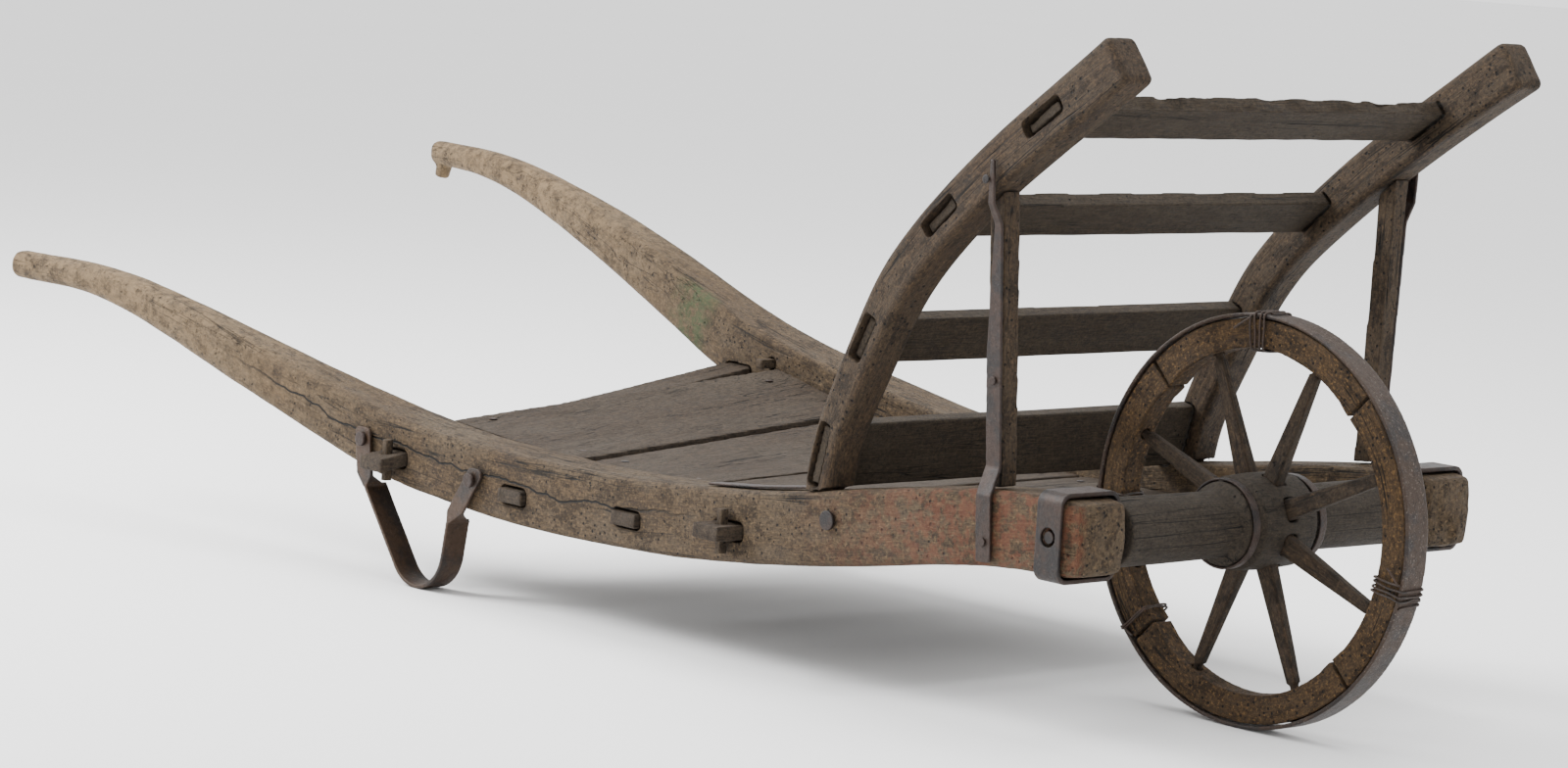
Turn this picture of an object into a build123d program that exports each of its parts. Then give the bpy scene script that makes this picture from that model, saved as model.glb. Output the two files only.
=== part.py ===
"""Wooden wheelbarrow with two bent side beams and a curved headboard. Millimetres, +Z up, +X to the wheel."""
import os
from math import acos, atan2, cos, degrees, radians, sin, sqrt

from build123d import *

os.makedirs("parts", exist_ok=True)

# Wheel
wheel_radius = 225.0
tyre_thickness = 5.0
tyre_width = 34.0
felloe_depth = 38.0
felloe_width = 31.0
felloe_joint_gap = 1.2
felloe_count = 4
spoke_count = 8
spoke_foot = (26.0, 18.0)
spoke_head = (15.0, 12.0)
spoke_tenon_length = 22.0
spoke_tenon_radius = 5.5
nave_boss_radius = 52.0
nave_boss_half = 40.0
nave_step_radius = 46.0
nave_step_half = 60.0
nave_arm_radius = 38.0
nave_side_clearance = 2.5
nave_band_width = 11.0
nave_band_thickness = 3.0
pin_radius = 7.0
pin_depth_in_nave = 90.0
pin_running_clearance = 0.05
spoke_nave_depth = 20.0
spoke_shoulder_bite = 2.0
felloe_shoulder = 184.0
felloe_shoulder_angle = 7.0
felloe_hollow = 186.0
tyre_nail_turn = 30.0
tyre_nail_length = 24.0
tyre_nail_countersink = 0.6
wire_radius = 1.2
wire_gap = 2.2
wire_pitch = 1.4
wire_places = ((90.0, 3), (-12.0, 2), (180.0, 2), (-140.0, 1))
fit_gap = 0.2

# Side beams: distance behind the axle and height above the floor, along the middle of the timber
handle_reach = 1935.0
beam_overhang = 42.0
beam_spacing = 552.0
beam_width = 78.0
handle_splay = 72.0
bed_rear = 1190.0
right_beam_heights = ((0, 225), (400, 173), (700, 147), (940, 147), (1175, 168), (1330, 203), (1490, 242),
                      (1700, 291), (1830, 305))
right_tip_height = 306.0
left_beam_heights = ((0, 225), (400, 181), (700, 186), (940, 222), (1175, 280), (1330, 335), (1490, 384),
                     (1700, 436), (1830, 454))
left_tip_height = 456.0
beam_depth_stops = ((-50, 85), (400, 86), (900, 88), (1175, 82), (1350, 73), (1500, 65), (1700, 47), (1850, 39),
                    (2000, 37))
beam_width_stops = ((-50, 78), (1150, 78), (1500, 62), (1750, 42), (2000, 38))
beam_corner_stops = ((-50, 10), (1150, 9), (1500, 20), (1750, 16), (2000, 15))
beam_sections = 15
beam_end_round = 9.0
grip_end_round = 9.0
nub_radius = 16.0
nub_drop = 38.0
nub_setback = 22.0
nub_taper = 6.0
nub_lean = -0.25
nub_share = 0.97

# Headboard uprights: the same two measurements, from the foot to the head
upright_width = 48.0
upright_inset = 3.0
upright_foot_behind = 368.0
upright_tenon = (26.0, 22.0, 40.0)
upright_tenon_rise = 4.0
upright_line_start = 200.0
right_upright_points = ((352, 292), (318, 365), (268, 457), (199, 534), (123, 600), (41, 661), (-44, 723))
left_upright_points = ((350, 292), (315, 365), (262, 457), (185, 534), (103, 600), (17, 661), (-83, 728))
upright_foot_depth = 42.0
upright_depth_stops = ((200, upright_foot_depth), (300, 44), (500, 52), (600, 55), (740, 60))
upright_corner = 10.0
upright_head_round = 9.0
upright_sections = 14

# Headboard slats: height of the middle, height of the board, thickness
slat_heights = (260.0, 394.0, 536.0, 652.0)
slat_depths = (76.0, 58.0, 58.0, 62.0)
slat_thickness = 19.0
slat_tenon_thickness = 13.0
slat_tenon_inset = 8.0
slat_tenon_recess = 5.0
slat_mortise_slack = 2.0
slat_rear_offset = 3.0

# Bed
rail_behind = (1129.0, 891.0, 681.0, 504.0)
rail_right_heights = (150.0, 138.0, 142.0, 156.0)
rail_left_heights = (252.0, 195.0, 169.0, 161.0)
rail_width = 56.0
rail_thickness = 36.0
rail_tenon_width = 46.0
rail_tenon_thickness = 19.0
plain_tenon_stick_out = 6.0
tusk_tenon_stick_out = 34.0
tusk_rails = (0, 3)
wedge_size = (11.0, 13.0, 52.0)
wedge_gap = 0.6
wedge_chamfer = 1.5
board_thickness = 25.0
first_board_left_rear = 1046.0
board_spans = ((1118.0, 880.0), (862.0, 664.0), (655.0, 492.0), (484.0, 300.0))
board_end_gap = 4.0
board_housing = 12.0
board_tongue_thickness = 13.0

# Posts and ironwork
post_size = 24.0
post_behind = 99.0
post_inset = 14.0
post_blank_top = 640.0
right_post_lean = -30.0
left_post_lean = 13.0
strap_width = 22.0
strap_thickness = 4.0
corner_strap_width = 20.0
corner_strap_thickness = 3.0
corner_strap_top = 392.0
corner_strap_rear = 560.0
strap_bedding = 3.0
brace_top = 606.0
brace_bottom = 184.0
brace_kink_below = 8.0
brace_kink_above = 22.0
band_width = 36.0
band_thickness = 4.0
band_hole_radius = 10.0
band_looseness = 1.5
hoop_ear_places = (955.0, 1186.0)
hoop_branch_places = (1007.0, 1176.0)
hoop_ear_width = 30.0
hoop_band_width = 34.0
hoop_thickness = 5.0
hoop_ear_height = 58.0
hoop_ear_overhang = 3.0
hoop_twist_length = 16.0
hoop_bow_behind = 1066.0
hoop_bow_radius = 52.0
brace_joint_height = 560.0
bolt_radius = 4.0
bolt_head_radius = 9.0
bolt_head_height = 5.0
nail_radius = 2.0
nail_head_radius = 5.0
nail_head_height = 2.0
nail_length = 30.0
contact_gap = 0.3
beam_pin_places = ((338.0, 34.0),)
beam_pin_head_radius = 11.0
beam_pin_head_height = 4.0
beam_pin_length = 48.0
peg_behind = 1063.0
peg_drop = 34.0
peg_size = 13.0
peg_length = 46.0
peg_chamfer = 2.0
board_nail_edge = 30.0
board_nail_end = 40.0
strap_nail_edge = 22.0
middle_nail_drop = 60.0

# Positions that follow from the sizes above
axle_x = (handle_reach - wheel_radius) / 2
axle_height = wheel_radius
beam_y = beam_spacing / 2
outer_y = beam_y + beam_width / 2
inner_y = beam_y - beam_width / 2
felloe_outer = wheel_radius - tyre_thickness - fit_gap
felloe_inner = felloe_outer - felloe_depth
sides = ((-1, "right"), (1, "left"))


def interpolate(stops, value):
    """Reads a size from a list of (place, size) pairs."""
    for (low, a), (high, b) in zip(stops, stops[1:]):
        if value <= high:
            return a + (b - a) * max(0.0, (value - low) / (high - low))
    return stops[-1][1]


def beam_spine(heights, tip_height, side):
    """The curved middle line of a side beam, from the wheel end to the handle's tip."""
    points = [(axle_x + beam_overhang, side * beam_y, heights[0][1])]
    for behind, height in heights + ((handle_reach, tip_height),):
        run = max(0.0, behind - bed_rear) / (handle_reach - bed_rear)
        points.append((axle_x - behind, side * (beam_y + handle_splay * run), height))
    with BuildLine() as line:
        Spline(*points, tangents=((-1, 0, 0), (-1, 0, 0)))
    return line.edges()[0]


def cross_section(spine, share):
    """The plane square to a timber's middle line, with its first axis along the barrow's width."""
    return Plane(origin=spine @ share, x_dir=(0, 1, 0), z_dir=spine % share)


def upright_spine(points, side):
    """The curved middle line of a headboard upright."""
    y = side * (outer_y - upright_inset - upright_width / 2)
    with BuildLine() as line:
        Spline((axle_x - upright_foot_behind, y, upright_line_start),
               *[(axle_x - behind, y, height) for behind, height in points])
    return line.edges()[0]


def share_at_height(spine, height):
    """Where along a rising line a height is reached."""
    low, high = 0.0, 1.0
    for _ in range(30):
        middle = (low + high) / 2
        if (spine @ middle).Z < height:
            low = middle
        else:
            high = middle
    return low


def share_behind(spine, behind):
    """Where along a side beam a distance behind the axle is reached."""
    low, high = 0.0, 1.0
    for _ in range(30):
        middle = (low + high) / 2
        if axle_x - (spine @ middle).X < behind:
            low = middle
        else:
            high = middle
    return low


def beam_top(spine, behind):
    """Height of a side beam's upper face."""
    share = share_behind(spine, behind)
    tangent = spine % share
    lean = sqrt(1 - tangent.Z**2)
    return (spine @ share).Z + interpolate(beam_depth_stops, behind) / 2 / lean


beam_spines = {
    "right": beam_spine(right_beam_heights, right_tip_height, -1),
    "left": beam_spine(left_beam_heights, left_tip_height, 1),
}
upright_spines = {
    "right": upright_spine(right_upright_points, -1),
    "left": upright_spine(left_upright_points, 1),
}

# Cross rails with through tenons
rails = []
for number in range(len(rail_behind)):
    rail_x = axle_x - rail_behind[number]
    rise = rail_left_heights[number] - rail_right_heights[number]
    slope = rise / (2 * outer_y)
    middle_height = (rail_right_heights[number] + rail_left_heights[number]) / 2
    stick_out = tusk_tenon_stick_out if number in tusk_rails else plain_tenon_stick_out
    with BuildPart() as rail:
        for size_x, size_z, drop, half in (
            (rail_width, rail_thickness, (rail_thickness - rail_tenon_thickness) / 2, inner_y - contact_gap),
            (rail_tenon_width, rail_tenon_thickness, 0, outer_y + stick_out),
        ):
            for end in (-1, 1):
                with BuildSketch(Plane(origin=(rail_x, end * half, middle_height - drop + slope * end * half),
                                       x_dir=(1, 0, 0), z_dir=(0, 1, 0))):
                    Rectangle(size_x, size_z)
            loft()
        if number in tusk_rails:
            for end in (-1, 1):
                wedge_y = end * (outer_y + wedge_size[1] / 2 + wedge_gap)
                with Locations((rail_x, wedge_y, middle_height + slope * wedge_y)):
                    Box(wedge_size[0], wedge_size[1], 2 * rail_thickness, mode=Mode.SUBTRACT)
    rails.append(rail.part)

# Wedges through the long tenons
for side, name in sides:
    with BuildPart() as wedges:
        for number in tusk_rails:
            wedge_y = side * (outer_y + wedge_size[1] / 2 + wedge_gap)
            slope = (rail_left_heights[number] - rail_right_heights[number]) / (2 * outer_y)
            middle_height = (rail_right_heights[number] + rail_left_heights[number]) / 2
            with BuildSketch(Plane.XY.offset(middle_height + slope * wedge_y - wedge_size[2] / 2)):
                with Locations((axle_x - rail_behind[number], wedge_y)):
                    Rectangle(wedge_size[0] - 2 * contact_gap, wedge_size[1] - 2 * contact_gap)
            extrude(amount=wedge_size[2])
        chamfer(wedges.edges().filter_by(Axis.Z), wedge_chamfer)
    wedges.part.label = f"{name}_tenon_wedges"
    export_step(wedges.part, f"parts/{name}_tenon_wedges.step")

# Side beams
blanks = {}
for side, name in sides:
    spine = beam_spines[name]
    with BuildPart() as blank:
        for step in range(beam_sections + 1):
            share = step / beam_sections
            behind = axle_x - (spine @ share).X
            with BuildSketch(cross_section(spine, share)):
                RectangleRounded(
                    interpolate(beam_width_stops, behind),
                    interpolate(beam_depth_stops, behind),
                    interpolate(beam_corner_stops, behind),
                )
        loft()
        fillet(blank.faces().sort_by(Axis.X)[0].edges(), grip_end_round)
        fillet(blank.faces().sort_by(Axis.X)[-1].edges(), beam_end_round)
        if name == "left":
            nub_y = side * (beam_y + handle_splay * nub_share)
            nub_plane = Plane(origin=(axle_x - handle_reach + nub_setback, nub_y, left_tip_height),
                              z_dir=(nub_lean, 0, -1))
            with BuildSketch(nub_plane):
                Circle(nub_radius)
            extrude(amount=nub_drop, taper=nub_taper)
            nub_end = nub_plane.origin + nub_plane.z_dir * nub_drop
            fillet(blank.faces().sort_by_distance(nub_end)[0].edges(), nub_radius / 3)
    blanks[name] = blank.part

# Headboard slats with through tenons
slats = []
mortises = []
for number, height in enumerate(slat_heights):
    ends = {}
    for side, name in sides:
        spine = upright_spines[name]
        share = share_at_height(spine, height)
        tangent = spine % share
        ends[name] = spine @ share + Vector(-tangent.Z, 0, tangent.X) * slat_rear_offset
    tilt = (upright_spines["right"] % share_at_height(upright_spines["right"], height)
            + upright_spines["left"] % share_at_height(upright_spines["left"], height)).normalized()
    along = (ends["left"] - ends["right"]).normalized()
    middle = (ends["left"] + ends["right"]) * 0.5
    slat_plane = Plane(origin=middle, x_dir=tilt, z_dir=along)
    body_length = (ends["left"] - ends["right"]).length - upright_width
    with BuildPart(slat_plane) as slat:
        Box(slat_depths[number], slat_thickness, body_length)
        Box(slat_depths[number] - slat_tenon_inset, slat_tenon_thickness,
            body_length + 2 * (upright_width - slat_tenon_recess))
    slats.append(slat.part)
    with BuildPart(slat_plane) as mortise:
        Box(slat_depths[number] - slat_tenon_inset + 2 * slat_mortise_slack,
            slat_tenon_thickness + 2 * slat_mortise_slack, body_length + 3 * upright_width)
    mortises.append(mortise.part)
    label = f"headboard_slat_{number}" if number else "headboard_board"
    slat.part.label = label
    export_step(slat.part, f"parts/{label}.step")

# Headboard uprights, each with a tenon down into its side beam
foot_tenons = {}
uprights = {}
for side, name in sides:
    spine = upright_spines[name]
    foot_top = beam_top(beam_spines[name], upright_foot_behind)
    with BuildPart() as foot_tenon:
        foot_y = side * (outer_y - upright_inset - upright_width / 2)
        with Locations((axle_x - upright_foot_behind, foot_y, foot_top + upright_tenon_rise)):
            Box(*upright_tenon[:2], 2 * upright_tenon[2])
    foot_tenons[name] = foot_tenon.part
    with BuildPart() as upright:
        for step in range(upright_sections + 1):
            share = step / upright_sections
            with BuildSketch(cross_section(spine, share)):
                depth = interpolate(upright_depth_stops, (spine @ share).Z)
                RectangleRounded(upright_width, depth, upright_corner)
        loft()
        fillet(upright.faces().sort_by_distance(spine @ 1)[0].edges(), upright_head_round)
        add(blanks[name], mode=Mode.SUBTRACT)
        add(foot_tenon.part)
        for cutter in slats + mortises:
            add(cutter, mode=Mode.SUBTRACT)
    uprights[name] = upright.part

# Posts between each beam and its upright
posts = {}
for side, name in sides:
    post_y = side * (outer_y - post_inset - post_size / 2)
    lean = left_post_lean if name == "left" else right_post_lean
    low = beam_top(beam_spines[name], post_behind) - beam_depth_stops[0][1] / 2
    with BuildPart() as post:
        for height, shift in ((low, 0), (post_blank_top, lean)):
            with BuildSketch(Plane.XY.offset(height)):
                with Locations((axle_x - post_behind + shift, post_y)):
                    Rectangle(post_size, post_size)
        loft()
        add(blanks[name], mode=Mode.SUBTRACT)
        add(uprights[name], mode=Mode.SUBTRACT)
        leftovers = post.solids().sort_by(SortBy.VOLUME)[:-1]
        for piece in leftovers:
            add(piece, mode=Mode.SUBTRACT)
    posts[name] = post.part


def bed_height(y, behind):
    """Height of the rails' upper faces at a distance behind the axle, y to the left of the middle."""
    share = (y + outer_y) / (2 * outer_y)
    tops = [right + (left - right) * share for right, left in zip(rail_right_heights, rail_left_heights)]
    places = list(zip(rail_behind, tops))[::-1]
    places = [(0.0, places[0][1])] + places + [(2 * bed_rear, places[-1][1])]
    return interpolate(places, behind) + rail_tenon_thickness / 2


def board_rear(number, side):
    """Where a bed board's rear edge meets one side; the first board is narrower on the left."""
    if number == 0 and side > 0:
        return first_board_left_rear
    return board_spans[number][0]


# Bed boards laid over the rails and notched over them where the bed twists
board_half = inner_y - board_end_gap
boards = []
for number, (_, front) in enumerate(board_spans):
    layers = [(board_half, board_thickness)]
    if number == len(board_spans) - 1:
        layers.append((inner_y + board_housing, board_tongue_thickness))
    with BuildPart() as board:
        for half_length, thickness in layers:
            for side in (-1, 1):
                with BuildSketch(Plane(origin=(0, side * half_length, 0), x_dir=(1, 0, 0), z_dir=(0, -1, 0))):
                    rear = board_rear(number, side)
                    low_rear = bed_height(side * half_length, rear)
                    low_front = bed_height(side * half_length, front)
                    with BuildLine():
                        Polyline((axle_x - rear, low_rear), (axle_x - front, low_front),
                                 (axle_x - front, low_front + thickness), (axle_x - rear, low_rear + thickness),
                                 close=True)
                    make_face()
            loft(ruled=True)
        for rail in rails:
            add(rail, mode=Mode.SUBTRACT)
        for name in ("right", "left"):
            add(uprights[name], mode=Mode.SUBTRACT)
        for slat in slats[:1]:
            add(slat, mode=Mode.SUBTRACT)
        for piece in board.solids().sort_by(SortBy.VOLUME)[:-1]:
            add(piece, mode=Mode.SUBTRACT)
    boards.append(board.part)

# Bearing bands round the wheel ends of the beams
for side, name in sides:
    with BuildPart() as band:
        with BuildSketch(Plane.YZ.offset(axle_x - band_width / 2)):
            with Locations((side * beam_y, axle_height)):
                RectangleRounded(beam_width + 2 * band_thickness + 1,
                                 beam_depth_stops[0][1] + 2 * (band_thickness + band_looseness),
                                 beam_corner_stops[0][1] + band_thickness)
        extrude(amount=band_width)
        add(blanks[name], mode=Mode.SUBTRACT)
        with Locations(Location((axle_x, side * outer_y, axle_height), (90, 0, 0))):
            Cylinder(band_hole_radius, 4 * band_thickness, mode=Mode.SUBTRACT)
        with Locations(Location((axle_x, side * inner_y, axle_height), (90, 0, 0))):
            Cylinder(pin_radius + 2, 4 * band_thickness, mode=Mode.SUBTRACT)
    band.part.label = f"{name}_bearing_band"
    export_step(band.part, f"parts/{name}_bearing_band.step")

# Leg hoops: flat ears bolted outside the beam, a forged twist inward, and a U that stands on the floor
def wrap_point(start, centre, radius, turn):
    """Where a straight line from a point meets a circle that it touches; turn picks the side."""
    away = Vector(start[0] - centre[0], start[1] - centre[1])
    angle = atan2(away.Y, away.X) + turn * acos(radius / away.length)
    return centre[0] + radius * cos(angle), centre[1] + radius * sin(angle)


hoop_bolt_places = []
for side, name in sides:
    spine = beam_spines[name]
    ear_y = side * (outer_y + contact_gap + hoop_thickness / 2)
    bow_y = side * (outer_y + contact_gap + hoop_thickness - hoop_band_width / 2)
    bolts_here = []
    branch_ends = []
    with BuildPart() as hoop:
        for ear_behind, branch_behind in zip(hoop_ear_places, hoop_branch_places):
            share = share_behind(spine, branch_behind)
            under = (spine @ share).Z - interpolate(beam_depth_stops, branch_behind) / 2
            low_behind = (ear_behind + 3 * branch_behind) / 4
            twist_low = -hoop_ear_overhang - hoop_twist_length
            for places in (
                ((ear_behind, ear_y, hoop_ear_height - hoop_ear_overhang, hoop_ear_width, hoop_thickness),
                 (low_behind, ear_y, -hoop_ear_overhang, hoop_ear_width, hoop_thickness)),
                ((low_behind, ear_y, -hoop_ear_overhang, hoop_ear_width, hoop_thickness),
                 (branch_behind, bow_y, twist_low, hoop_thickness, hoop_band_width)),
            ):
                for behind, y, rise, size_x, size_y in places:
                    with BuildSketch(Plane.XY.offset(under + rise)):
                        with Locations((axle_x - behind, y)):
                            Rectangle(size_x, size_y)
                loft()
            bolt_rise = hoop_ear_height - hoop_ear_overhang - hoop_ear_width / 2
            bolt_share = (bolt_rise + hoop_ear_overhang) / hoop_ear_height
            bolt_behind = low_behind + (ear_behind - low_behind) * bolt_share
            bolts_here.append((side, axle_x - bolt_behind, under + bolt_rise))
            branch_ends.append((axle_x - branch_behind, under + twist_low + hoop_thickness / 2))
        front_end, rear_end = branch_ends
        half = hoop_thickness / 2
        bow_centre = (axle_x - hoop_bow_behind, hoop_bow_radius + half)
        front_touch = wrap_point(front_end, bow_centre, hoop_bow_radius, -1)
        rear_touch = wrap_point(rear_end, bow_centre, hoop_bow_radius, 1)
        with BuildSketch(Plane(origin=(0, bow_y, 0), x_dir=(1, 0, 0), z_dir=(0, -1, 0))):
            with BuildLine():
                Line(rear_end, rear_touch)
                ThreePointArc(rear_touch, (bow_centre[0], half), front_touch)
                Line(front_touch, front_end)
                offset(amount=half, side=Side.BOTH, kind=Kind.INTERSECTION)
            make_face()
        extrude(amount=hoop_band_width / 2, both=True)
        fillet(hoop.edges().filter_by(Axis.Y).sort_by(Axis.Z)[-4:], hoop_ear_width / 4)
        for _, bolt_x, bolt_z in bolts_here:
            with Locations(Location((bolt_x, ear_y, bolt_z), (90, 0, 0))):
                Cylinder(bolt_radius + contact_gap, 3 * hoop_thickness, mode=Mode.SUBTRACT)
        add(blanks[name], mode=Mode.SUBTRACT)
    hoop_bolt_places += bolts_here
    hoop.part.label = f"{name}_leg_hoop"
    export_step(hoop.part, f"parts/{name}_leg_hoop.step")

# Hoop bolts, with a round head outside and the shank through the beam
with BuildPart() as hoop_bolts:
    for side, bolt_x, bolt_z in hoop_bolt_places:
        head_y = side * (outer_y + 2 * contact_gap + hoop_thickness + bolt_head_height / 2)
        shank = beam_width + hoop_thickness - 2 * bolt_radius
        with Locations(Location((bolt_x, head_y, bolt_z), (90, 0, 0))):
            Cylinder(bolt_head_radius, bolt_head_height)
        shank_y = side * (outer_y + hoop_thickness + 1 - shank / 2)
        with Locations(Location((bolt_x, shank_y, bolt_z), (90, 0, 0))):
            Cylinder(bolt_radius, shank)
hoop_bolts.part.label = "hoop_bolts"
export_step(hoop_bolts.part, "parts/hoop_bolts.step")

# Brace straps: nailed to the upright, down the post, and nailed to the beam
braces = {}
for side, name in sides:
    lean = left_post_lean if name == "left" else right_post_lean
    foot = beam_top(beam_spines[name], post_behind)
    post_face = outer_y - post_inset + contact_gap
    beam_face = outer_y + contact_gap
    upright_face = outer_y - upright_inset + contact_gap + 1
    with BuildPart() as brace:
        with BuildSketch(Plane.YZ.offset(axle_x - post_behind - strap_width)):
            with BuildLine():
                Polyline((side * beam_face, brace_bottom), (side * beam_face, foot - brace_kink_below),
                         (side * post_face, foot + brace_kink_above),
                         (side * post_face, brace_joint_height - brace_kink_above),
                         (side * upright_face, brace_joint_height),
                         (side * upright_face, brace_top))
                offset(amount=strap_thickness, side=Side.RIGHT if side > 0 else Side.LEFT, kind=Kind.INTERSECTION)
            make_face()
        extrude(amount=2 * strap_width)
        slant = degrees(atan2(lean, post_blank_top - foot))
        with BuildSketch(Plane(origin=(axle_x - post_behind, 0, foot), x_dir=(1, 0, 0), z_dir=(0, -1, 0))):
            with Locations(Rotation(0, 0, -slant)):
                with Locations((0, (brace_top + brace_bottom) / 2 - foot)):
                    RectangleRounded(strap_width, brace_top - brace_bottom, strap_thickness)
        extrude(amount=2 * outer_y, both=True, mode=Mode.INTERSECT)
        add(blanks[name], mode=Mode.SUBTRACT)
        add(uprights[name], mode=Mode.SUBTRACT)
        add(posts[name], mode=Mode.SUBTRACT)
    braces[name] = brace.part

# Corner straps: up the rear of each upright and back along the top of the beam
for side, name in sides:
    spine = beam_spines[name]
    upright_line = upright_spines[name]
    under = []
    over = []
    for behind in (corner_strap_rear, (corner_strap_rear + upright_foot_behind) / 2 + 15):
        height = beam_top(spine, behind)
        under.append((axle_x - behind, height - strap_bedding))
        over.append((axle_x - behind, height + corner_strap_thickness))
    foot_height = beam_top(spine, upright_foot_behind + upright_foot_depth / 2)
    foot_share = share_at_height(upright_line, foot_height - upright_corner)
    top_share = share_at_height(upright_line, corner_strap_top)
    for step in range(5):
        share = foot_share + (top_share - foot_share) * step / 4
        point = upright_line @ share
        tangent = upright_line % share
        for line, reach in ((under, -strap_bedding), (over, corner_strap_thickness)):
            reach = reach + interpolate(upright_depth_stops, point.Z) / 2
            height = foot_height + reach - upright_foot_depth / 2 if step == 0 else point.Z + tangent.X * reach
            line.append((point.X - tangent.Z * reach, height))
    strap_y = side * (outer_y - upright_inset - upright_width / 2)
    with BuildPart() as corner_strap:
        with BuildSketch(Plane(origin=(0, strap_y, 0), x_dir=(1, 0, 0), z_dir=(0, -1, 0))):
            with BuildLine():
                Polyline(*under, *over[::-1], close=True)
            make_face()
        extrude(amount=corner_strap_width / 2, both=True)
        add(blanks[name], mode=Mode.SUBTRACT)
        add(uprights[name], mode=Mode.SUBTRACT)
        for piece in corner_strap.solids().sort_by(SortBy.VOLUME)[:-1]:
            add(piece, mode=Mode.SUBTRACT)
    corner_strap.part.label = f"{name}_corner_strap"
    export_step(corner_strap.part, f"parts/{name}_corner_strap.step")

# Iron pins through the beams beside the bed
with BuildPart() as beam_pins:
    for side, name in sides:
        for behind, drop in beam_pin_places:
            height = beam_top(beam_spines[name], behind) - drop
            head_y = side * (outer_y + beam_pin_head_height / 2)
            with Locations(Location((axle_x - behind, head_y, height), (90, 0, 0))):
                Cylinder(beam_pin_head_radius, beam_pin_head_height)
            shank_y = side * (outer_y + beam_pin_head_height - beam_pin_length / 2)
            with Locations(Location((axle_x - behind, shank_y, height), (90, 0, 0))):
                Cylinder(bolt_radius, beam_pin_length)
beam_pins.part.label = "beam_pins"
export_step(beam_pins.part, "parts/beam_pins.step")

# Square wooden peg in the left beam's inner face, just above the rear board
with BuildPart() as peg:
    with Locations((axle_x - peg_behind, inner_y, beam_top(beam_spines["left"], peg_behind) - peg_drop)):
        Box(peg_size, peg_length, peg_size)
    chamfer(peg.faces().sort_by(Axis.Y)[0].edges(), peg_chamfer)
peg.part.label = "bed_peg"
export_step(peg.part, "parts/bed_peg.step")

# Nails in the bed boards and in the straps
with BuildPart() as bed_nails:
    for number, (_, front) in enumerate(board_spans):
        for side in (-1, 1):
            for behind in (board_rear(number, side) - board_nail_edge, front + board_nail_edge):
                nail_y = side * (board_half - board_nail_end)
                low = bed_height(nail_y, behind)
                with Locations((axle_x - behind, nail_y, low + board_thickness - nail_head_height / 2)):
                    Cylinder(nail_head_radius, nail_head_height)
                with Locations((axle_x - behind, nail_y, low + board_thickness - nail_length / 2)):
                    Cylinder(nail_radius, nail_length)
bed_nails.part.label = "bed_nails"
export_step(bed_nails.part, "parts/bed_nails.step")

with BuildPart() as strap_nails:
    for side, name in sides:
        lean = left_post_lean if name == "left" else right_post_lean
        foot = beam_top(beam_spines[name], post_behind)
        slope = lean / (post_blank_top - foot)
        for height, face in (
            (brace_top - strap_nail_edge, outer_y - upright_inset + 1),
            ((foot + brace_top) / 2 - middle_nail_drop, outer_y - post_inset),
            (brace_bottom + strap_nail_edge, outer_y),
        ):
            nail_x = axle_x - post_behind + slope * (height - foot)
            face = face + contact_gap + strap_thickness
            with Locations(Location((nail_x, side * (face + nail_head_height / 2), height), (90, 0, 0))):
                Cylinder(nail_head_radius, nail_head_height)
            with Locations(Location((nail_x, side * (face - post_size / 3), height), (90, 0, 0))):
                Cylinder(nail_radius, 2 * post_size / 3)
strap_nails.part.label = "strap_nails"
export_step(strap_nails.part, "parts/strap_nails.step")

# Side beams with every joint cut in them
for side, name in sides:
    with BuildPart() as beam:
        add(blanks[name])
        for rail in rails:
            add(rail, mode=Mode.SUBTRACT)
        add(boards[-1], mode=Mode.SUBTRACT)
        add(slats[0], mode=Mode.SUBTRACT)
        add(foot_tenons[name], mode=Mode.SUBTRACT)
        add(beam_pins.part, mode=Mode.SUBTRACT)
        add(hoop_bolts.part, mode=Mode.SUBTRACT)
        add(strap_nails.part, mode=Mode.SUBTRACT)
        if side > 0:
            add(peg.part, mode=Mode.SUBTRACT)
        with Locations(Location((axle_x, side * beam_y, axle_height), (90, 0, 0))):
            Cylinder(pin_radius + pin_running_clearance, 2 * beam_width, mode=Mode.SUBTRACT)
    beam.part.label = f"{name}_beam"
    export_step(beam.part, f"parts/{name}_beam.step")

# Nailed pieces are bored for their nails
for label, piece, nails in (
    [(f"{name}_brace_strap", braces[name], strap_nails.part) for _, name in sides]
    + [(f"{name}_post", posts[name], strap_nails.part) for _, name in sides]
    + [(f"{name}_upright", uprights[name], strap_nails.part) for _, name in sides]
    + [(f"bed_board_{number + 1}", board, bed_nails.part) for number, board in enumerate(boards)]
    + [(f"cross_rail_{number + 1}", rail, bed_nails.part) for number, rail in enumerate(rails)]
):
    with BuildPart() as bored:
        add(piece)
        for nail in nails.solids():
            add(nail, mode=Mode.SUBTRACT)
    bored.part.label = label
    export_step(bored.part, f"parts/{label}.step")

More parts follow.
